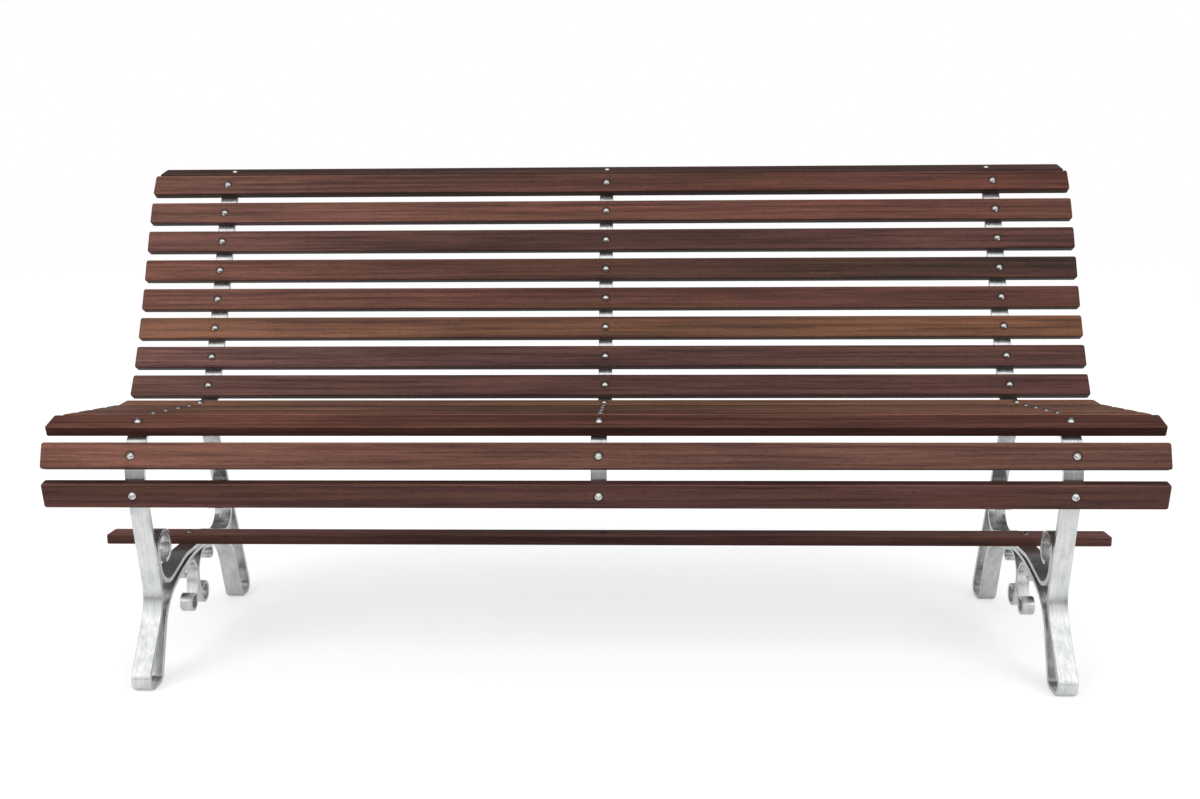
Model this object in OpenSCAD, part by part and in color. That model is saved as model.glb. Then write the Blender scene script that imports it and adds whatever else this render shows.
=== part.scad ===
// Park bench: hardwood slats bolted to two bent flat-bar side frames and a centre strap.
// X runs along the bench, -Y is the front, Z is up; the origin is on the ground under the middle.

/* [Slats] */
// Length of every slat
slat_length = 1800; // [1200:10:2400]
// Width of a slat's face
slat_width = 43; // [36:1:44]
// Thickness of a slat
slat_thickness = 18; // [16:1:22]
// Radius along a slat's long edges
slat_edge = 3; // [1:0.5:6]
// Spacing of the slats on the seat
seat_pitch = 58.5; // [56:0.5:59]
// Spacing of the slats on the back
back_pitch = 59.7; // [56:0.1:60]

/* [Side frames] */
// Distance from a slat's end to the middle of a side frame
frame_overhang = 147; // [80:1:300]
// Width of the frame bars
bar_width = 32; // [28:1:40]
// Thickness of the frame bars
bar_thickness = 8; // [6:0.5:8]
// Distance between the middles of the front and the rear foot
foot_spacing = 490; // [486:1:500]
// Length of the straight front leg between its bend and the seat's front
leg_length = 169; // [150:1:190]
// Length of the arch's straight flanks
flank_length = 77.5; // [70:0.5:80]
// Lean of the rear leg, as the heading of its upper end
rear_leg_heading = 112.3; // [110:0.1:113]

/* [Scrolls] */
// Width of the bars of the two C-scrolls
scroll_width = 21; // [16:1:24]
// Thickness of the bars of the two C-scrolls
scroll_thickness = 6; // [5:0.5:7]
// Distance that the pair of C-scrolls stands ahead of the arch's crown
scroll_forward = 17; // [10:1:20]
// Distance of the C-scrolls' middle from the arch's middle, towards the middle of the bench
scroll_inset = 4; // [0:0.5:5]
// Distance that the stretcher stands ahead of the crown, where its nuts clear the C-scrolls
stretcher_forward = 6; // [5:0.5:8]

/* [Centre strap] */
// Width of the centre strap
strap_width = 26; // [20:1:32]
// Thickness of the centre strap
strap_thickness = 5; // [4:0.5:6]
// Length of the strap below the lowest slat's bolt
strap_tail = 12; // [8:1:60]

/* [Fasteners] */
// Diameter of the bolts
bolt_d = 8; // [6:1:8]
// Diameter of a bolt's domed head
head_d = 14; // [12:0.5:16]
// Height of a bolt's domed head
head_h = 4.4; // [3:0.2:5]
// Size across the flats of the hexagon socket in the head
socket_af = 5; // [3:0.5:6]
// Size across the flats of a nut
nut_af = 13; // [11:0.5:13]

/* [Hidden] */
$fn = 48;

wood_gap = 0.1;            // between a slat and the bar it is bolted to
hole_d = bolt_d + 1;       // clearance holes in slats and bars
weld_gap = 0.1;            // where one bar meets another and is welded
washer_d = 2 * bolt_d;
washer_h = 1.6;
nut_h = 6.5;
bolt_tail = 3;             // thread past the nut
socket_depth = 2.6;
washer_play = 0.4;         // between a bolt and the hole in its washer
nut_play = 0.2;            // between a bolt and the hole in its nut
overshoot = 1;             // how far a cutter reaches past what it cuts

frame_x = slat_length / 2 - frame_overhang;
SIDES = ["left", "right"];
SIDE_X = [-frame_x, frame_x];

// ---- Bent bars ----------------------------------------------------------------------------
// A bar's face is followed as a station [y, z, heading], the heading in degrees from +Y
// towards +Z, through rows of [straight feed, bend radius, bend angle]; a positive angle
// bends to the left of the travel.
arc_step = 5;              // most degrees between two points of a bend
long_step = 12;            // most millimetres between two points of a bend

function after_feed(at, feed) = [at[0] + feed * cos(at[2]), at[1] + feed * sin(at[2]), at[2]];
function after_bend(at, radius, angle) =
    let (side = sign(angle) * radius, end = at[2] + angle)
    [at[0] + side * (sin(end) - sin(at[2])), at[1] + side * (cos(at[2]) - cos(end)), end];
function after_row(at, row) = after_bend(after_feed(at, row[0]), row[1], row[2]);
function after_rows(at, rows, i = 0) =
    i == len(rows) ? at : after_rows(after_row(at, rows[i]), rows, i + 1);

function bend_length(row) = row[1] * abs(row[2]) * PI / 180;
function row_length(row) = row[0] + bend_length(row);
function rows_length(rows, i = 0) =
    i == len(rows) ? 0 : row_length(rows[i]) + rows_length(rows, i + 1);

function bend_steps(row) = ceil(max(abs(row[2]) / arc_step, bend_length(row) / long_step));
function row_stations(at, row) =
    let (start = after_feed(at, row[0]), n = bend_steps(row))
    concat(row[0] > 0 ? [start] : [],
           row[2] == 0 ? [] : [for (k = [1 : n]) after_bend(start, row[1], row[2] * k / n)]);
function rows_stations(at, rows, i = 0) =
    i == len(rows) ? [] :
    concat(row_stations(at, rows[i]), rows_stations(after_row(at, rows[i]), rows, i + 1));
function stations(at, rows) = concat([at], rows_stations(at, rows));

// The station a given distance along the rows
function at_distance(at, rows, s, i = 0) =
    let (row = rows[i])
    s <= row[0] || i == len(rows) - 1 && row[2] == 0 ? after_feed(at, s) :
    s <= row_length(row) ?
        after_bend(after_feed(at, row[0]), row[1], sign(row[2]) * (s - row[0]) / row[1] * 180 / PI) :
    at_distance(after_row(at, row), rows, s - row_length(row), i + 1);
// How far a point lies to the left of a station's heading
function leftwards(at, p) = (p[1] - at[1]) * cos(at[2]) - (p[0] - at[0]) * sin(at[2]);

function beside(at, offset) = [at[0] - offset * sin(at[2]), at[1] + offset * cos(at[2])];
function face(path) = [for (at = path) [at[0], at[1]]];
function other_face(path, offset) = [for (at = path) beside(at, offset)];
function backwards(list) = [for (i = [len(list) - 1 : -1 : 0]) list[i]];
function after_first(list) = [for (i = [1 : len(list) - 1]) list[i]];
function mirrored(list, y) = [for (p = list) [2 * y - p[0], p[1]]];
function flipped(list) = [for (p = list) [p[0], -p[1]]];

// Section of a bar whose second face lies offset to the left of the path
module bar_section(path, offset) {
    polygon(concat(face(path), backwards(other_face(path, offset))));
}

// One bar made of two halves that leave the same station in opposite ways
module two_way_section(ahead, behind_face, behind_other, offset) {
    polygon(concat(backwards(after_first(behind_face)), face(ahead),
                   backwards(other_face(ahead, offset)), after_first(behind_other)));
}

// A section in the Y-Z plane, stood up with a width along X
module along_x(x, width) {
    translate([x - width / 2, 0, 0])
        rotate([90, 0, 90])
            linear_extrude(width)
                children();
}

// ---- Side frame: back, seat rail and front leg in one bar ----------------------------------
front_foot = [0, 0, 180];
FOOT_ROWS = [[11, 21, -128], [84.5, 80, 50.5]];
PROFILE_ROWS = [
    [0, 38, -51.5], [0, 96, -16],                      // rest of the knee
    [247, 130, 20], [0, 60, 47],                       // seat, and the bend up into the back
    [45.5, 1830, 5.5], [98, 980, -4], [0, 300, -6.5],  // back
    [0, 18, -42], [58, 12, -100]                       // top flange and its turned-down end
];
KNEE_ROW = [112, -41];
MAIN_ROWS = concat(FOOT_ROWS, [concat([leg_length], KNEE_ROW)], PROFILE_ROWS);
knee_at = rows_length(FOOT_ROWS) + leg_length;
main_path = stations(front_foot, MAIN_ROWS);

// Distances of the slats' bolts along the main bar, from the start of the knee
FRONT_SLATS = [1.5, 59.5];
nose_slat = 109.5;
SEAT_SLATS = concat([nose_slat], [for (i = [0 : 4]) 172.5 + i * seat_pitch]);
BACK_SLATS = [for (i = [0 : 7]) 483.5 + i * back_pitch];
top_slat = 949;
SLAT_AT = concat(FRONT_SLATS, SEAT_SLATS, BACK_SLATS, [top_slat]);
SLATS = concat(["front_slat_lower", "front_slat_upper"],
               [for (i = [1 : 6]) str("seat_slat_", i)],
               [for (i = [1 : 8]) str("back_slat_", i)],
               ["top_slat"]);

function on_main_bar(s) = at_distance(front_foot, MAIN_ROWS, knee_at + s);

// A slat lies flat on the bar, or on its own face's edges where the bar is hollow
rest_half = slat_width / 2 - slat_edge;
function chord(a, b) = [(a[0] + b[0]) / 2, (a[1] + b[1]) / 2, atan2(b[1] - a[1], b[0] - a[0])];
function rest_on_edges(s) = chord(on_main_bar(s - rest_half), on_main_bar(s + rest_half));
function slat_station(i) =
    let (flat = on_main_bar(SLAT_AT[i]), edges = rest_on_edges(SLAT_AT[i]))
    leftwards(flat, edges) > 0 ? edges : flat;

// Depth of a bar's far face below a slat, at the deepest point that the bolt's washer covers
function washer_depth(i, thickness) =
    max([for (along = [-washer_d / 2, 0, washer_d / 2])
        -leftwards(slat_station(i), beside(on_main_bar(SLAT_AT[i] + along), -thickness))]);

// ---- Side frame: arch from foot to foot ----------------------------------------------------
sole_feed = 11;            // flat sole on each side of a foot's middle
toe_radius = 21;
toe_angle = 70;
shoulder_radius = 85;
shoulder_angle = -45.5;
arch_toe = [[sole_feed, toe_radius, toe_angle], [flank_length, shoulder_radius, shoulder_angle]];
arch_start = [0, 0, 0];
arch_shoulder = after_rows(arch_start, arch_toe);
crown_radius = (foot_spacing / 2 - arch_shoulder[0]) / sin(arch_shoulder[2]);
ARCH_ROWS = concat(arch_toe, [[0, crown_radius, -2 * arch_shoulder[2]]],
                   [[0, shoulder_radius, shoulder_angle], [flank_length, toe_radius, toe_angle],
                    [sole_feed, 1, 0]]);
arch_path = stations(arch_start, ARCH_ROWS);
crown_y = foot_spacing / 2;
crown_z = after_bend(arch_shoulder, crown_radius, -arch_shoulder[2])[1];

// ---- Side frame: rear leg ------------------------------------------------------------------
rear_foot = [foot_spacing, 0, 0];
heel_radius = 19;
past_main_bar = 400;       // far enough up for the main bar to trim the leg
rear_leg_path = stations(rear_foot,
    [[sole_feed, heel_radius, rear_leg_heading], [past_main_bar, 1, 0]]);

// ---- Side frame: scroll brace, lying on the arch with a scroll behind each leg --------------
brace_start = [crown_y, crown_z + bar_thickness, 0];
brace_rear = stations(brace_start,
    [[64, 120, -15], [38, 44, 125], [23, 26, 82], [0, 29, 60], [0, 25, 70], [0, 22, 70]]);
brace_front = stations(brace_start,
    [[60, 120, -15], [56, 45, 93.5], [25, 31, 82], [0, 33, 60], [0, 30, 70], [0, 27, 70]]);

// ---- Side frame: C-scrolls back to back under the arch ---------------------------------------
SCROLL_X = [scroll_inset - frame_x, frame_x - scroll_inset];
scroll_y = crown_y - scroll_forward;
front_scroll_r = 38;       // outer radius where the front scroll leans on the arch
rear_scroll_r = 43;
scroll_back = [0, 0, 90];
FRONT_SCROLL_UP = [[0, front_scroll_r, -102], [19, 10.5, -110], [0, 9.5, -90], [0, 8.5, -50]];
REAR_SCROLL_UP = [[0, rear_scroll_r, -104], [24, 13.5, -110], [0, 12, -90], [0, 10.5, -60]];
FRONT_SCROLL_DOWN = [[0, 80, -21], [20, 18, -150], [0, 16, -90], [0, 13, -60]];
REAR_SCROLL_DOWN = [[0, 90, -18], [19, 21, -150], [0, 18.5, -90], [0, 15, -60]];

// Height of a scroll's middle whose top bend, centred at y, just meets the arch's underside
function under_arch(radius, y) =
    let (reach = crown_radius - radius - weld_gap, aside = crown_y - y)
    crown_z - crown_radius + sqrt(reach * reach - aside * aside);
front_scroll_z = under_arch(front_scroll_r, scroll_y - front_scroll_r);
rear_scroll_z = under_arch(rear_scroll_r, scroll_y + rear_scroll_r);

module c_scroll_section(up_rows, down_rows) {
    up = stations(scroll_back, up_rows);
    down = stations(scroll_back, down_rows);
    two_way_section(up, flipped(face(down)), flipped(other_face(down, -scroll_thickness)),
                    -scroll_thickness);
}

// ---- Centre strap --------------------------------------------------------------------------
strap_start = at_distance(front_foot, MAIN_ROWS, knee_at - strap_tail);
strap_path = stations(strap_start, concat([concat([strap_tail], KNEE_ROW)], PROFILE_ROWS));

// ---- The whole, centred over its own footprint ----------------------------------------------
main_ys = [for (at = main_path) at[0]];
depth_shift = -(min(main_ys) + max(main_ys)) / 2;
module placed() {
    translate([0, depth_shift, 0])
        children();
}

// A thing set on a bar's outer face: local Z is the face's normal, local Y runs along the bar
module on_station(x, at) {
    translate([x, at[0], at[1]])
        rotate([at[2], 0, 0])
            children();
}

stretcher_station = [crown_y - stretcher_forward, crown_z + 2 * bar_thickness, 0];

// ---- Slats -----------------------------------------------------------------------------------
STRETCHER_WOOD = "#3f2a26";
WOODS = ["#5b3a31", "#7d5449", "#6d473b", "#694539", "#6b493c", "#64453b", "#6e4a3f", "#5f4338",
         "#573a36", "#60403a", "#7c5c48", "#71493c", "#6a4840", "#5a403c", "#74483e", "#6b4538",
         "#5d463f"];

module slat_section() {
    w = slat_width / 2 - slat_edge;
    t = slat_thickness - slat_edge;
    translate([-slat_width / 2, slat_edge])
        square([slat_width, slat_thickness - 2 * slat_edge]);
    translate([-w, 0])
        square([2 * w, slat_thickness]);
    for (y = [-w, w], z = [slat_edge, t])
        translate([y, z])
            circle(slat_edge);
}

module bolt_hole(depth) {
    translate([0, 0, -depth])
        cylinder(d = hole_d, h = 2 * depth + slat_thickness);
}

module slat(at, holes) {
    difference() {
        on_station(0, at)
            translate([0, 0, wood_gap])
                along_x(0, slat_length)
                    slat_section();
        for (x = holes)
            on_station(x, at)
                bolt_hole(slat_thickness);
    }
}

module bench_slat(i) {
    color(WOODS[i])
        placed()
            slat(slat_station(i), [-frame_x, 0, frame_x]);
}

module stretcher_slat() {
    color(STRETCHER_WOOD)
        placed()
            slat(stretcher_station, SIDE_X);
}

// ---- Bars ------------------------------------------------------------------------------------
STEEL = "#aab2b4";

module slat_holes(x) {
    for (i = [0 : len(SLAT_AT) - 1])
        on_station(x, slat_station(i))
            bolt_hole(2 * bar_thickness);
}

module main_bar(side) {
    color(STEEL)
        placed()
            difference() {
                along_x(SIDE_X[side], bar_width)
                    bar_section(main_path, -bar_thickness);
                slat_holes(SIDE_X[side]);
            }
}

module centre_strap() {
    color(STEEL)
        placed()
            difference() {
                along_x(0, strap_width)
                    bar_section(strap_path, -strap_thickness);
                slat_holes(0);
            }
}

module arch_bar(side) {
    color(STEEL)
        placed()
            difference() {
                along_x(SIDE_X[side], bar_width)
                    bar_section(arch_path, bar_thickness);
                on_station(SIDE_X[side], stretcher_station)
                    bolt_hole(3 * bar_thickness);
            }
}

module rear_leg(side) {
    color(STEEL)
        placed()
            along_x(SIDE_X[side], bar_width)
                difference() {
                    bar_section(rear_leg_path, bar_thickness);
                    bar_section(main_path, -bar_thickness - weld_gap);
                }
}

module scroll_brace(side) {
    color(STEEL)
        placed()
            difference() {
                along_x(SIDE_X[side], bar_width)
                    two_way_section(brace_rear, mirrored(face(brace_front), crown_y),
                                    mirrored(other_face(brace_front, bar_thickness), crown_y),
                                    bar_thickness);
                on_station(SIDE_X[side], stretcher_station)
                    bolt_hole(3 * bar_thickness);
            }
}

module front_scroll(side) {
    color(STEEL)
        placed()
            translate([0, scroll_y, front_scroll_z])
                along_x(SCROLL_X[side], scroll_width)
                    mirror([1, 0])
                        c_scroll_section(FRONT_SCROLL_UP, FRONT_SCROLL_DOWN);
}

module rear_scroll(side) {
    color(STEEL)
        placed()
            translate([0, scroll_y, rear_scroll_z])
                along_x(SCROLL_X[side], scroll_width)
                    c_scroll_section(REAR_SCROLL_UP, REAR_SCROLL_DOWN);
}

// ---- Fasteners ---------------------------------------------------------------------------------
STAINLESS = "#d9dcde";
SUPPORTS = ["left", "centre", "right"];
SUPPORT_X = [-frame_x, 0, frame_x];
SUPPORT_T = [bar_thickness, strap_thickness, bar_thickness];

module bolt(grip) {
    dome = (head_d * head_d / 4 + head_h * head_h) / (2 * head_h);
    shank = grip + washer_h + nut_h + bolt_tail;
    difference() {
        union() {
            intersection() {
                translate([0, 0, head_h - dome])
                    sphere(dome);
                cylinder(d = head_d, h = head_h);
            }
            translate([0, 0, -shank])
                cylinder(d = bolt_d, h = shank + overshoot);
        }
        translate([0, 0, head_h - socket_depth])
            cylinder(d = socket_af / cos(30), h = socket_depth, $fn = 6);
    }
}

module washer() {
    difference() {
        cylinder(d = washer_d, h = washer_h);
        translate([0, 0, -overshoot])
            cylinder(d = bolt_d + washer_play, h = washer_h + 2 * overshoot);
    }
}

module nut() {
    difference() {
        cylinder(d = nut_af / cos(30), h = nut_h, $fn = 6);
        translate([0, 0, -overshoot])
            cylinder(d = bolt_d + nut_play, h = nut_h + 2 * overshoot);
    }
}

// Set at each bolt of a support: kind is 0 for the bolts, 1 for the washers and 2 for the nuts
module fastener(kind, grip) {
    translate([0, 0, slat_thickness + wood_gap]) {
        if (kind == 0)
            bolt(grip);
        if (kind == 1)
            translate([0, 0, -grip - washer_h])
                washer();
        if (kind == 2)
            translate([0, 0, -grip - washer_h - nut_h])
                nut();
    }
}

module fasteners(support, kind) {
    x = SUPPORT_X[support];
    thickness = SUPPORT_T[support];
    wood = slat_thickness + wood_gap;
    color(STAINLESS)
        placed() {
            for (i = [0 : len(SLAT_AT) - 1])
                on_station(x, slat_station(i))
                    fastener(kind, wood + washer_depth(i, thickness));
            if (support != 1)
                on_station(x, stretcher_station)
                    fastener(kind, wood + 2 * bar_thickness);
        }
}

// ---- Nodes ---------------------------------------------------------------------------------------
FRAME_PARTS = ["main_bar", "rear_leg", "arch_bar", "scroll_brace", "front_scroll", "rear_scroll"];
FASTENER_PARTS = ["bolts", "washers", "nuts"];

module frame_part(part, side) {
    if (part == "main_bar") main_bar(side);
    if (part == "rear_leg") rear_leg(side);
    if (part == "arch_bar") arch_bar(side);
    if (part == "scroll_brace") scroll_brace(side);
    if (part == "front_scroll") front_scroll(side);
    if (part == "rear_scroll") rear_scroll(side);
}

for (i = [0 : len(SLATS) - 1])
    bench_slat(i);
stretcher_slat();
centre_strap();
for (part = FRAME_PARTS, side = [0, 1])
    frame_part(part, side);
for (kind = [0 : 2], support = [0 : 2])
    fasteners(support, kind);
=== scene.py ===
"""Looks of the park bench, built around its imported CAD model.

Metres throughout: X runs along the bench, -Y is the front and Z is up. Every slat and bar is rebuilt
from its CAD solid with rounded edges; the bolts, washers and nuts are the CAD solids themselves.
"""

import math

import bmesh
import bpy
from mathutils import Matrix, Vector


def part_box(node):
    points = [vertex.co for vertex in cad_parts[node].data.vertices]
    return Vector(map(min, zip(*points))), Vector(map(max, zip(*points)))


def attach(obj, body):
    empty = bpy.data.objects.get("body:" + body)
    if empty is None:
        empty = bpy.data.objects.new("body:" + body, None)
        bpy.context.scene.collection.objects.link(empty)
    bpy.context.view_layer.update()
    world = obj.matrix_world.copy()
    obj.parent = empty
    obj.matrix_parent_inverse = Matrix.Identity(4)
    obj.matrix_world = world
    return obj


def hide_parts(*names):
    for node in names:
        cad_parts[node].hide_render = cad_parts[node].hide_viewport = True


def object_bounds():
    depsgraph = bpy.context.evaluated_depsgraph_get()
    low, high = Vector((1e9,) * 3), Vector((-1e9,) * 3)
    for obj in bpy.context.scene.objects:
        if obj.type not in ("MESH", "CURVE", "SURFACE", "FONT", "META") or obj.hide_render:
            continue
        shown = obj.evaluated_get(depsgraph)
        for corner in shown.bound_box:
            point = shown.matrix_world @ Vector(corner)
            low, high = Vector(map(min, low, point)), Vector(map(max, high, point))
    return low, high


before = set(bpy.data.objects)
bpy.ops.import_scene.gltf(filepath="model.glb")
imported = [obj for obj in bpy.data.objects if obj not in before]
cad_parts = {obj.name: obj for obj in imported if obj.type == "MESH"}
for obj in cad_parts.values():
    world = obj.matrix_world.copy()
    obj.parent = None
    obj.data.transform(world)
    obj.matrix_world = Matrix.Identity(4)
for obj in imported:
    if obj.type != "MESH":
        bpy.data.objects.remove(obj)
cad_low, cad_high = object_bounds()

MM = 0.001


# ---- Node helpers ------------------------------------------------------------------------------

SEED_STEP = (7.31, 3.17, 5.03)  # how far apart two seeds look into the same noise


def grey(value):
    return (value, value, value, 1)


def colour(hex_code):
    """An sRGB hex code as the linear colour that the shader takes."""
    channels = [int(hex_code[i : i + 2], 16) / 255 for i in (1, 3, 5)]
    linear = [c / 12.92 if c <= 0.04045 else ((c + 0.055) / 1.055) ** 2.4 for c in channels]
    return (*linear, 1)


def new_material(name):
    """A new material, with its node tree."""
    material = bpy.data.materials.new(name)
    material.use_nodes = True
    return material, material.node_tree


def feed(tree, node, key, value):
    """Give a node's input a value, a socket or another node's first output."""
    if isinstance(value, bpy.types.Node):
        value = value.outputs[0]
    if isinstance(value, bpy.types.NodeSocket):
        tree.links.new(value, node.inputs[key])
    else:
        node.inputs[key].default_value = value


def add(tree, kind, inputs=None, **settings):
    """A new node, with its settings and with what its inputs are fed."""
    node = tree.nodes.new(kind)
    for key, value in settings.items():
        setattr(node, key, value)
    for key, value in (inputs or {}).items():
        feed(tree, node, key, value)
    return node


def to_range(tree, value, low, high, start=0.0, end=1.0, **settings):
    """A value that runs from start to end, taken to low to high and no farther."""
    inputs = {"Value": value, "From Min": start, "From Max": end, "To Min": low, "To Max": high}
    return add(tree, "ShaderNodeMapRange", inputs, **settings)


def calculated(tree, operation, *values, **settings):
    """The result of one step of arithmetic on one or two values."""
    return add(tree, "ShaderNodeMath", dict(enumerate(values)), operation=operation, **settings)


def stretched_noise(tree, place, seed, stretch, detail, roughness=0.55, distortion=0.0):
    """Noise over the object's own place, with so many features a metre along X, Y and Z."""
    offset = [seed * step for step in SEED_STEP]
    mapping = add(tree, "ShaderNodeMapping", {"Vector": place, "Location": offset, "Scale": stretch})
    values = {"Vector": mapping, "Scale": 1.0, "Detail": detail, "Roughness": roughness}
    values["Distortion"] = distortion
    return add(tree, "ShaderNodeTexNoise", values)


def ramp(tree, value, stops):
    """A colour ramp through (position, colour) stops."""
    node = add(tree, "ShaderNodeValToRGB", {"Fac": value})
    elements = node.color_ramp.elements
    while len(elements) < len(stops):
        elements.new(0.5)
    for element, (position, shade) in zip(elements, stops):
        element.position = position
        element.color = shade
    return node


def mixed(tree, factor, first, second, blend="MIX"):
    """Two colours mixed, or blended, by a factor. A Mix node's colours are its sockets 6, 7 and out 2."""
    inputs = {0: factor, 6: first, 7: second}
    settings = {"data_type": "RGBA", "blend_type": blend, "clamp_factor": True}
    return add(tree, "ShaderNodeMix", inputs, **settings).outputs[2]


def tinted(tree, shade, tint, share=1.0):
    """A colour multiplied by another, wholly or by a share."""
    return mixed(tree, share, shade, tint, "MULTIPLY")


# ---- Camera, floor and light -------------------------------------------------------------------

CAMERA_AT = (0.0689, -2.3457, 0.8353)
CAMERA_YAW = 1.862  # degrees to the left of straight ahead
CAMERA_PITCH = 9.786  # degrees below the horizon
CAMERA_ROLL = 0.363  # degrees clockwise, as seen from behind the camera
LENS = 39.0
FARTHEST_SEEN = 200

FLOOR_SIZE = 80.0
FLOOR_WHITE = 0.60  # the floor's own tone, which takes the shadows
FLOOR_GLOW = 0.50  # what is added to it, to be as white as the backdrop
FLOOR_BOUNCE = 0.10  # what the bench's undersides get back from the floor
FLOOR_MIRRORED = (0.88, 0.22)  # what shows of the floor in the metal, near by and far ahead
FLOOR_FADE = (-0.45, -1.4)  # where along Y it goes from the one to the other

# The sky's bright front, which the metal mirrors
SKY_AHEAD = (-0.10, -0.55)  # it comes up as a direction's Y goes from the one to the other
SKY_LEVEL = 0.46  # the share of it at the horizon
SKY_HIGH = 0.60  # a direction's Z where it is whole


def make_camera():
    """A camera that sees the bench from in front, a little above and to the right of its middle."""
    data = bpy.data.cameras.new("camera")
    data.lens = LENS
    data.clip_end = FARTHEST_SEEN
    camera = bpy.data.objects.new("camera", data)
    bpy.context.scene.collection.objects.link(camera)
    turn = Matrix.Rotation(math.radians(CAMERA_YAW), 4, "Z")
    tilt = Matrix.Rotation(math.radians(90 - CAMERA_PITCH), 4, "X")
    roll = Matrix.Rotation(math.radians(-CAMERA_ROLL), 4, "Z")
    camera.matrix_world = Matrix.Translation(CAMERA_AT) @ turn @ tilt @ roll
    bpy.context.scene.camera = camera


def floor_material():
    """A pale floor, with less of its light sent back up to the bench."""
    material, tree = new_material("floor")
    tree.nodes.clear()
    ray = add(tree, "ShaderNodeLightPath")
    lit = add(tree, "ShaderNodeBsdfDiffuse", {"Color": grey(FLOOR_WHITE)})
    glow = add(tree, "ShaderNodeEmission", {"Color": grey(1), "Strength": FLOOR_GLOW})
    pale = add(tree, "ShaderNodeAddShader", {0: lit, 1: glow})
    dim = add(tree, "ShaderNodeBsdfDiffuse", {"Color": grey(FLOOR_BOUNCE)})
    place = add(tree, "ShaderNodeTexCoord").outputs["Object"]
    along_y = add(tree, "ShaderNodeSeparateXYZ", {0: place}).outputs["Y"]
    shown = to_range(tree, along_y, *FLOOR_MIRRORED, *FLOOR_FADE)
    mirrored = add(tree, "ShaderNodeBsdfDiffuse", {"Color": shown})
    bounce = add(tree, "ShaderNodeMixShader", {0: ray.outputs["Is Diffuse Ray"], 1: mirrored, 2: dim})
    mix = add(tree, "ShaderNodeMixShader", {0: ray.outputs["Is Camera Ray"], 1: bounce, 2: pale})
    add(tree, "ShaderNodeOutputMaterial", {"Surface": mix})
    return material


def make_floor():
    """A plain square floor under the bench."""
    mesh = bpy.data.meshes.new("floor")
    half = FLOOR_SIZE / 2
    corners = [(-half, -half, 0), (half, -half, 0), (half, half, 0), (-half, half, 0)]
    mesh.from_pydata(corners, [], [(0, 1, 2, 3)])
    floor = bpy.data.objects.new("floor", mesh)
    bpy.context.scene.collection.objects.link(floor)
    mesh.materials.append(floor_material())


def make_sky(low, high, front, around):
    """A white backdrop; diffuse light from low to high overhead; for the metal, a bright front."""
    world = bpy.data.worlds.new("world")
    world.use_nodes = True
    bpy.context.scene.world = world
    tree = world.node_tree
    tree.nodes.clear()
    ray = add(tree, "ShaderNodeLightPath")
    direction = add(tree, "ShaderNodeTexCoord").outputs["Generated"]
    split = add(tree, "ShaderNodeSeparateXYZ", {0: direction})
    overhead = to_range(tree, split.outputs["Z"], low, high)
    ahead = to_range(tree, split.outputs["Y"], 0, 1, *SKY_AHEAD)
    height = to_range(tree, split.outputs["Z"], SKY_LEVEL, 1, end=SKY_HIGH)
    shine = to_range(tree, calculated(tree, "MULTIPLY", ahead, height), around, front)
    backdrop = add(tree, "ShaderNodeBackground", {"Color": grey(1), "Strength": 1.0})
    diffuse = add(tree, "ShaderNodeBackground", {"Color": grey(1), "Strength": overhead})
    mirrored = add(tree, "ShaderNodeBackground", {"Color": grey(1), "Strength": shine})
    rest = add(tree, "ShaderNodeMixShader", {0: ray.outputs["Is Diffuse Ray"], 1: mirrored, 2: diffuse})
    mix = add(tree, "ShaderNodeMixShader", {0: ray.outputs["Is Camera Ray"], 1: rest, 2: backdrop})
    add(tree, "ShaderNodeOutputWorld", {"Surface": mix})


def softbox(name, at, aim, width, height, watts):
    """A soft light that does not show in the metal, which mirrors the sky's bright front instead."""
    data = bpy.data.lights.new(name, "AREA")
    data.shape = "RECTANGLE"
    data.size = width
    data.size_y = height
    data.energy = watts
    light = bpy.data.objects.new(name, data)
    light.location = at
    direction = Vector(aim) - Vector(at)
    light.rotation_euler = direction.to_track_quat("-Z", "Y").to_euler()
    light.visible_glossy = False
    bpy.context.scene.collection.objects.link(light)


# ---- Wood --------------------------------------------------------------------------------------

# Features a metre along, across and through a slat
CLOUD = (1.7, 14, 14)
STREAK = (3.0, 150, 150)
FIBRE = (16, 640, 640)
PORE = (75, 1500, 1500)
FIGURE = (1.3, 70, 70)

HALF_LENGTH = cad_high.x
BOLT_X = (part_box("main_bar_right")[0].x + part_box("main_bar_right")[1].x) / 2  # an outer bolt's place

TONE_DRIFT = 0.9  # how far a cloud moves the change from the left end's tone to the right end's
# Painted light: a slat's middle is painted darker and its ends brighter, as though lit from the sides
MIDDLE = (0.15, 0.70)  # a slat goes from its middle's tone to its ends' between these
END_LIGHT_TONES = (0.84, 1.18)
DARK_RED = (0.56, 0.54, 0.55, 1)
PALE_GOLD = (1.36, 1.36, 1.26, 1)
GOLDEN_FIGURE = "#7a5640"
PORE_SHADE = 0.5
# A painted contact shadow on the wood round each bolt head: how far out it reaches, and how dark it is at
# its darkest
BOLT_RING = (7.6 * MM, 9.0 * MM)  # from a bolt's middle, where the dark round its head fades out
BOLT_SHADOW_DARKEST = 0.35


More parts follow.
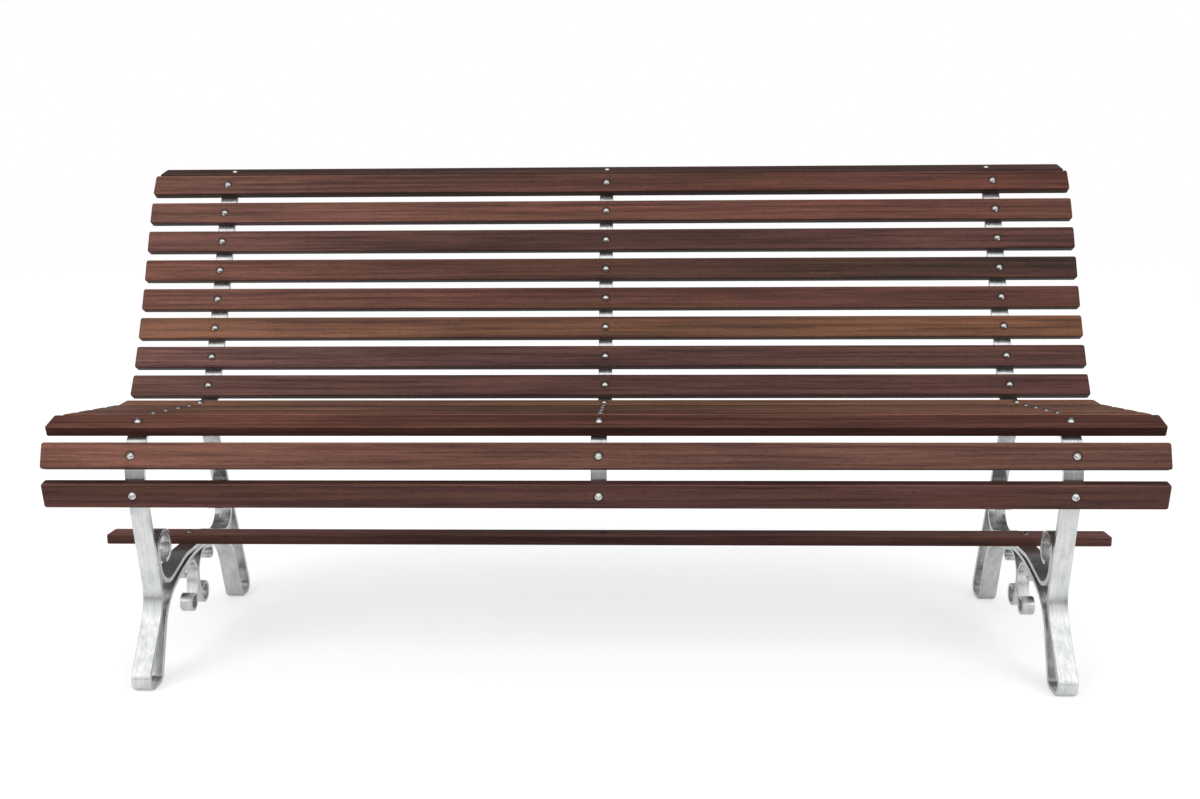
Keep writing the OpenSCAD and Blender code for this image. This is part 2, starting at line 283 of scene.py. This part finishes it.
def wood(name, seed, left, right, gold):
    """Oiled dark hardwood, from one tone at the left end to another at the right, with long grain."""
    material, tree = new_material(name)
    shader = tree.nodes["Principled BSDF"]
    place = add(tree, "ShaderNodeAttribute", attribute_name="slat_place").outputs["Vector"]
    split = add(tree, "ShaderNodeSeparateXYZ", {0: place})
    cloud = stretched_noise(tree, place, seed, CLOUD, detail=3)
    streak = stretched_noise(tree, place, seed + 1, STREAK, detail=6, roughness=0.6, distortion=0.4)
    fibre = stretched_noise(tree, place, seed + 2, FIBRE, detail=3, roughness=0.6)
    pore = stretched_noise(tree, place, seed + 3, PORE, detail=2, roughness=0.5)
    pores = ramp(tree, pore, [(0.57, grey(0)), (0.68, grey(1))])

    shade = wood_tone(tree, split, cloud, left, right)
    shade = wood_grain(tree, shade, cloud, streak, fibre)
    if gold:
        figure = stretched_noise(tree, place, seed + 4, FIGURE, detail=4, distortion=0.3)
        where = ramp(tree, figure, [(0.48, grey(0)), (0.62, grey(gold))])
        shade = mixed(tree, where, shade, colour(GOLDEN_FIGURE))
    shade = mixed(tree, pores, shade, tinted(tree, shade, grey(PORE_SHADE)))
    # Painted highlight along the arrises and painted shade on the narrow edges
    shade = tinted(tree, shade, edge_highlight_and_shade(tree))
    # Painted contact shadow round each bolt head
    shade = tinted(tree, shade, bolt_ring_shadows(tree, split))
    feed(tree, shader, "Base Color", shade)
    feed(tree, shader, "Roughness", to_range(tree, streak, 0.38, 0.56))
    feed(tree, shader, "Specular IOR Level", 0.16)
    feed(tree, shader, "Normal", wood_relief(tree, fibre, pores))
    return material


def wood_tone(tree, split, cloud, left, right):
    """The tone under the grain, from the left end's to the right end's, with painted light: darker in the
    middle and brighter at the ends.
    """
    along = to_range(tree, split.outputs["X"], 0, 1, -HALF_LENGTH, HALF_LENGTH)
    drift = to_range(tree, cloud, -TONE_DRIFT, TONE_DRIFT)
    share = calculated(tree, "ADD", along, drift, use_clamp=True)
    shade = mixed(tree, share, colour(left), colour(right))
    away = calculated(tree, "ABSOLUTE", split.outputs["X"])
    end_light = to_range(tree, away, *END_LIGHT_TONES, *MIDDLE, interpolation_type="SMOOTHSTEP")
    return tinted(tree, shade, end_light)


def wood_grain(tree, shade, cloud, streak, fibre):
    """A tone with slow clouds, dark and pale streaks and fine fibres along the slat."""
    slow = ramp(tree, cloud, [(0.38, grey(0.76)), (0.50, grey(0.98)), (0.62, grey(1.24))])
    lines = ramp(tree, streak, [(0.37, DARK_RED), (0.50, grey(1.0)), (0.63, PALE_GOLD)])
    fine = ramp(tree, fibre, [(0.36, grey(0.72)), (0.50, grey(1.0)), (0.64, grey(1.16))])
    shade = tinted(tree, shade, slow)
    shade = tinted(tree, shade, lines, share=0.9)
    return tinted(tree, shade, fine, share=0.8)


def edge_highlight_and_shade(tree):
    """A factor by the slat's side: a painted highlight where the face turns into the edge, and painted
    shade on the edge.
    """
    side = add(tree, "ShaderNodeAttribute", attribute_name="slat_side").outputs["Fac"]
    return ramp(tree, side, [(0.0, grey(1.0)), (0.2, grey(1.3)), (0.7, grey(0.85)), (1.0, grey(0.52))])


def bolt_ring_shadows(tree, split):
    """A factor that paints shadow on the wood just round the heads of a slat's bolts."""
    away = calculated(tree, "ABSOLUTE", split.outputs["X"])
    beside = calculated(tree, "ABSOLUTE", calculated(tree, "SUBTRACT", away, BOLT_X))
    nearest = calculated(tree, "MINIMUM", away, beside)
    flat = add(tree, "ShaderNodeCombineXYZ", {0: nearest, 1: split.outputs["Y"]})
    reach = add(tree, "ShaderNodeVectorMath", {0: flat}, operation="LENGTH").outputs["Value"]
    return to_range(tree, reach, BOLT_SHADOW_DARKEST, 1, *BOLT_RING)


def wood_relief(tree, fibre, pores):
    """Raised fibres with sunken pores."""
    grain = add(tree, "ShaderNodeBump", {"Height": fibre, "Strength": 0.25, "Distance": 0.3 * MM})
    sunken = {"Height": pores, "Strength": 0.35, "Distance": 0.2 * MM, "Normal": grain}
    return add(tree, "ShaderNodeBump", sunken, invert=True)


# ---- Metals ------------------------------------------------------------------------------------

# Features a metre along X, Y and Z
RUNS = (260, 90, 7)
MOTTLE = (55, 55, 30)
WANDER = (60, 60, 60)
MARKS = (900, 900, 900)

SPANGLE_CELLS = 230.0  # to a metre
SPANGLE_SHIFT = (10 * MM, 10 * MM, 10 * MM)  # how far the cells' borders wander


def galvanised():
    """Hot-dip zinc on steel: pale grey with a soft spangle, brushed runs and a little mottling."""
    material, tree = new_material("galvanised_steel")
    shader = tree.nodes["Principled BSDF"]
    place = add(tree, "ShaderNodeTexCoord").outputs["Object"]
    cell = spangle(tree, place)
    runs = stretched_noise(tree, place, 5, RUNS, detail=5, roughness=0.6)
    mottle = stretched_noise(tree, place, 9, MOTTLE, detail=4)

    tones = [(0.32, colour("#cfd3d4")), (0.5, colour("#e0e2e1")), (0.7, colour("#ebebe8"))]
    facets = ramp(tree, cell.outputs[0], [(0.0, grey(0.95)), (1.0, grey(1.02))])
    drawn = ramp(tree, runs, [(0.36, grey(0.84)), (0.52, grey(1.0)), (0.7, grey(1.04))])
    shade = tinted(tree, ramp(tree, mottle, tones), facets)
    feed(tree, shader, "Base Color", tinted(tree, shade, drawn, share=0.8))
    feed(tree, shader, "Metallic", 0.92)
    rough = to_range(tree, mottle, 0.19, 0.27)
    cells = to_range(tree, cell.outputs[1], -0.04, 0.04)
    feed(tree, shader, "Roughness", calculated(tree, "ADD", rough, cells))
    relief = {"Height": mottle, "Strength": 0.03, "Distance": 0.5 * MM}
    feed(tree, shader, "Normal", add(tree, "ShaderNodeBump", relief))
    return material


def spangle(tree, place):
    """The colour of each spangle cell, split, with borders that wander."""
    wander = stretched_noise(tree, place, 2, WANDER, detail=3)
    moved = add(tree, "ShaderNodeVectorMath", {0: wander, 1: SPANGLE_SHIFT}, operation="MULTIPLY")
    there = add(tree, "ShaderNodeVectorMath", {0: place, 1: moved}, operation="ADD")
    cells = add(tree, "ShaderNodeTexVoronoi", {"Vector": there, "Scale": SPANGLE_CELLS})
    return add(tree, "ShaderNodeSeparateColor", {"Color": cells.outputs["Color"]})


def stainless():
    """Turned stainless steel, bright, with fine marks."""
    material, tree = new_material("stainless_steel")
    shader = tree.nodes["Principled BSDF"]
    place = add(tree, "ShaderNodeTexCoord").outputs["Object"]
    marks = stretched_noise(tree, place, 4, MARKS, detail=3)
    tones = [(0.35, colour("#c6c7c6")), (0.65, colour("#e6e6e4"))]
    feed(tree, shader, "Base Color", ramp(tree, marks, tones))
    feed(tree, shader, "Metallic", 1.0)
    feed(tree, shader, "Roughness", to_range(tree, marks, 0.12, 0.22))
    return material


# ---- Shapes taken from the CAD solids ----------------------------------------------------------

WELD = 0.01 * MM  # corners nearer than this are one corner
BENT_LEAST = math.radians(140)  # a bar's end corners are sharper than this, and its bends are not
SIDEWAYS = 0.1  # a face whose normal has less than this along X isn't an end
OUTWARDS = Vector((0, -1, 1))  # every slat's face looks forwards, upwards or both


def slat_axes(node):
    """A slat's middle, its axes along, across and outwards, and its size along each."""
    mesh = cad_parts[node].data
    flat = max((f for f in mesh.polygons if abs(f.normal.x) < SIDEWAYS), key=lambda f: f.area)
    normal = flat.normal.copy()
    if normal.dot(OUTWARDS) < 0:
        normal.negate()
    along = Vector((1, 0, 0))
    axes = (along, normal.cross(along), normal)
    middle = Vector()
    sizes = []
    for axis in axes:
        reach = [v.co.dot(axis) for v in mesh.vertices]
        middle += axis * (min(reach) + max(reach)) / 2
        sizes.append(max(reach) - min(reach))
    return middle, axes, sizes


def side_outline(node):
    """The outline, as (y, z) points in order, of the side face that a flat bar shows along X."""
    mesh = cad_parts[node].data
    side = max(v.co.x for v in mesh.vertices)

    def key(index):
        co = mesh.vertices[index].co
        return (round(co.y / WELD), round(co.z / WELD))

    edges = []
    for face in mesh.polygons:
        if all(abs(mesh.vertices[i].co.x - side) < WELD for i in face.vertices):
            loop = [key(i) for i in face.vertices]
            edges += zip(loop, loop[1:] + loop[:1])
    known = set(edges)
    follows = {a: b for a, b in edges if (b, a) not in known}
    start = next(iter(follows))
    outline = [start]
    while follows[outline[-1]] != start:
        outline.append(follows[outline[-1]])
    return [Vector((y * WELD, z * WELD)) for y, z in outline]


def opening(outline, i):
    """The angle inside the outline at its point i."""
    return (outline[i - 1] - outline[i]).angle(outline[(i + 1) % len(outline)] - outline[i])


def paired_faces(node):
    """A bent bar's two faces as two lists of (y, z) points, opposite each other along the bar."""
    outline = side_outline(node)
    square = [i for i in range(len(outline)) if opening(outline, i) < BENT_LEAST]
    if square[1] - square[0] < square[2] - square[1]:
        square = square[1:] + square[:1]
    outline = outline[square[0] :] + outline[: square[0]]
    first_end, second_start, second_end = ((i - square[0]) % len(outline) for i in square[1:])
    return outline[: first_end + 1], outline[second_start : second_end + 1][::-1]


# ---- Mesh building -----------------------------------------------------------------------------

SHARP = math.radians(45)  # edges that turn by more than this stay crisp


def corner_turns(steps):
    """The directions, anticlockwise from +X, that the points of a rounded rectangle face."""
    return [math.radians(90 * (quarter + k / steps)) for quarter in range(4) for k in range(steps + 1)]


def rounded_rectangle(width, height, radius, steps):
    """Points round a rectangle with rounded corners, anticlockwise."""
    signs = ((1, 1), (-1, 1), (-1, -1), (1, -1))
    points = []
    for i, turn in enumerate(corner_turns(steps)):
        sx, sy = signs[i // (steps + 1)]
        corner = Vector((sx * (width / 2 - radius), sy * (height / 2 - radius)))
        points.append(corner + radius * Vector((math.cos(turn), math.sin(turn))))
    return points


def edge_steps(radius, steps):
    """Steps of a rounded edge as (distance back from the face, distance in from the side)."""
    turns = [math.radians(90 * k / steps) for k in range(steps + 1)]
    return [(radius * (1 - math.sin(turn)), radius * (1 - math.cos(turn))) for turn in turns]


def lofted(name, rings):
    """A closed solid through rings of equal length, capped at both ends."""
    solid = bmesh.new()
    loops = [[solid.verts.new(p) for p in ring] for ring in rings]
    n = len(rings[0])
    for here, there in zip(loops, loops[1:]):
        for i in range(n):
            solid.faces.new((here[i], here[(i + 1) % n], there[(i + 1) % n], there[i]))
    solid.faces.new(loops[0][::-1])
    solid.faces.new(loops[-1])
    bmesh.ops.recalc_face_normals(solid, faces=solid.faces)
    mesh = bpy.data.meshes.new(name)
    solid.to_mesh(mesh)
    solid.free()
    piece = bpy.data.objects.new(name, mesh)
    bpy.context.scene.collection.objects.link(piece)
    return piece


def finish_piece(piece, node, material):
    """Smooth shading with crisp flats, a material, and a place on the frame in a CAD node's stead."""
    piece.data.shade_smooth()
    piece.data.set_sharp_from_angle(angle=SHARP)
    weighted = piece.modifiers.new("weighted", "WEIGHTED_NORMAL")
    weighted.keep_sharp = True
    piece.data.materials.append(material)
    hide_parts(node)
    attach(piece, "root")


# ---- Slats -------------------------------------------------------------------------------------

SLAT_EDGE = 3 * MM
SLAT_END = 4 * MM
SLAT_END_THROUGH = 0.5  # how much of that rounding there is through the thickness
SLAT_ROUNDING = 5  # steps round an edge or an end
SLAT_STATIONS = 25  # stretches along a slat
SEED_SPACING = 10  # one slat's noises use up to five seeds

# Each slat's tone at its left and at its right end, and how much golden figure it shows
WOODS = {
    "front_slat_lower": ("#5c3d39", "#5b3d39", 0.25),
    "front_slat_upper": ("#704a3f", "#5f4038", 0.10),
    "seat_slat_1": ("#57352d", "#50302a", 0.10),
    "seat_slat_2": ("#654438", "#634236", 0.15),
    "seat_slat_3": ("#5b4036", "#5b4036", 0.10),
    "seat_slat_4": ("#65483c", "#63463b", 0.10),
    "seat_slat_5": ("#543c32", "#523a30", 0.15),
    "seat_slat_6": ("#6c4f41", "#6a4b3b", 0.30),
    "back_slat_1": ("#5c3f39", "#4d302c", 0.00),
    "back_slat_2": ("#5e423e", "#52342f", 0.05),
    "back_slat_3": ("#69483b", "#704a35", 0.40),
    "back_slat_4": ("#5f3f37", "#57342d", 0.15),
    "back_slat_5": ("#6c463c", "#33241f", 0.10),
    "back_slat_6": ("#5d3f39", "#4d312c", 0.00),
    "back_slat_7": ("#6d4a41", "#603a31", 0.20),
    "back_slat_8": ("#614139", "#58332a", 0.15),
    "top_slat": ("#422f2b", "#422f2d", 0.05),
    "stretcher_slat": ("#7a5149", "#6f4b45", 0.00),
}


def slat_stations(length):
    """The places along a slat that its rings stand at, each with how far its end's rounding cuts in."""
    half = length / 2
    straight = half - SLAT_END
    end = [(half - back, inwards) for back, inwards in edge_steps(SLAT_END, SLAT_ROUNDING)][::-1]
    between = [(straight * (1 - 2 * k / SLAT_STATIONS), 0) for k in range(1, SLAT_STATIONS)]
    return end + between + [(-x, inwards) for x, inwards in end[::-1]]


def make_slat(node, seed):
    """A slat with rounded edges and ends, which keeps for its wood where each point lies on it."""
    middle, (along, across, normal), (length, width, thickness) = slat_axes(node)
    rings = []
    places = []
    sides = []
    for x, inwards in slat_stations(length):
        through = SLAT_END_THROUGH * inwards
        radius = SLAT_EDGE - through
        ring = rounded_rectangle(width - 2 * inwards, thickness - 2 * through, radius, SLAT_ROUNDING)
        rings.append([middle + along * x + across * p.x + normal * p.y for p in ring])
        places += [(x, p.x, p.y) for p in ring]
        sides += [math.cos(turn) ** 2 for turn in corner_turns(SLAT_ROUNDING)]
    piece = lofted("slat_" + node.replace("_slat", ""), rings)
    place = piece.data.attributes.new("slat_place", "FLOAT_VECTOR", "POINT")
    place.data.foreach_set("vector", [value for at in places for value in at])
    side = piece.data.attributes.new("slat_side", "FLOAT", "POINT")
    side.data.foreach_set("value", sides)
    finish_piece(piece, node, wood("wood_" + node, seed, *WOODS[node]))


# ---- Bars --------------------------------------------------------------------------------------

BAR_EDGE = 0.9 * MM
LEAST_EDGE = 0.3 * MM
BAR_ROUNDING = 3  # steps round an edge
TIP_EDGE = 1.2 * MM
TIP_ROUNDING = 4
SOLE_HEIGHT = 12 * MM

FLAT_BARS = ("main_bar", "rear_leg", "arch_bar", "scroll_brace", "front_scroll", "rear_scroll")


def free_end(node, point):
    """Whether a bar just stops there, with no other bar that it runs into."""
    return point.y >= SOLE_HEIGHT and not node.startswith("rear_leg")


def eased_tip(stations, end):
    """A bar's stations with its first end, 0, or its last end, -1, eased."""
    point, thick, thickness, _ = stations[end]
    onward = Vector((thick.y, -thick.x))
    inner = stations[1 if end == 0 else -2][0]
    if onward.dot(point - inner) < 0:
        onward.negate()
    kept = [s for s in stations if (s[0] - point).length > TIP_EDGE]
    steps = edge_steps(TIP_EDGE, TIP_ROUNDING)
    tip = [(point - onward * back, thick, thickness, inwards) for back, inwards in steps]
    return tip[::-1] + kept if end == 0 else kept + tip


def make_bar(node, material):
    """A flat bar swept between its two CAD faces, with eased edges and, where it is free, eased ends."""
    low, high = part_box(node)
    width = high.x - low.x
    middle = (high.x + low.x) / 2
    stations = []
    for first, second in zip(*paired_faces(node), strict=True):
        through = second - first
        stations.append(((first + second) / 2, through.normalized(), through.length, 0))
    for end in (0, -1):
        if free_end(node, stations[end][0]):
            stations = eased_tip(stations, end)
    rings = []
    for point, thick, thickness, inwards in stations:
        radius = max(BAR_EDGE - inwards, LEAST_EDGE)
        ring = rounded_rectangle(width - 2 * inwards, thickness - 2 * inwards, radius, BAR_ROUNDING)
        rings.append([Vector((middle + p.x, *(point + thick * p.y))) for p in ring])
    finish_piece(lofted("bar_" + node, rings), node, material)


# ---- The bench ---------------------------------------------------------------------------------


def make_slats():
    for i, node in enumerate(WOODS):
        make_slat(node, SEED_SPACING * (i + 1))


def make_bars():
    zinc = galvanised()
    for part in FLAT_BARS:
        for side in ("left", "right"):
            make_bar(f"{part}_{side}", zinc)
    make_bar("centre_strap", zinc)


def dress_fasteners():
    """Give the CAD's own bolts, washers and nuts their material."""
    bright = stainless()
    for part in ("bolts", "washers", "nuts"):
        for place in ("left", "centre", "right"):
            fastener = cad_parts[f"{part}_{place}"]
            fastener.data.materials.clear()
            fastener.data.materials.append(bright)


bpy.context.scene.view_settings.view_transform = "Standard"
make_camera()
make_floor()
make_sky(low=0.40, high=0.95, front=1.35, around=0.11)
softbox("key_left", (-2.6, -3.1, 2.8), (-0.7, 0.1, 0.45), width=2.2, height=2.0, watts=58)
softbox("key_right", (2.6, -3.1, 2.8), (0.7, 0.1, 0.45), width=2.2, height=2.0, watts=48)
softbox("front_fill", (0, -5.5, 1.6), (0, 0, 0.4), width=6.0, height=2.6, watts=38)
softbox("top", (0, 0.4, 4.0), (0, 0.1, 0.4), width=4.0, height=3.0, watts=34)
make_slats()
make_bars()
dress_fasteners()
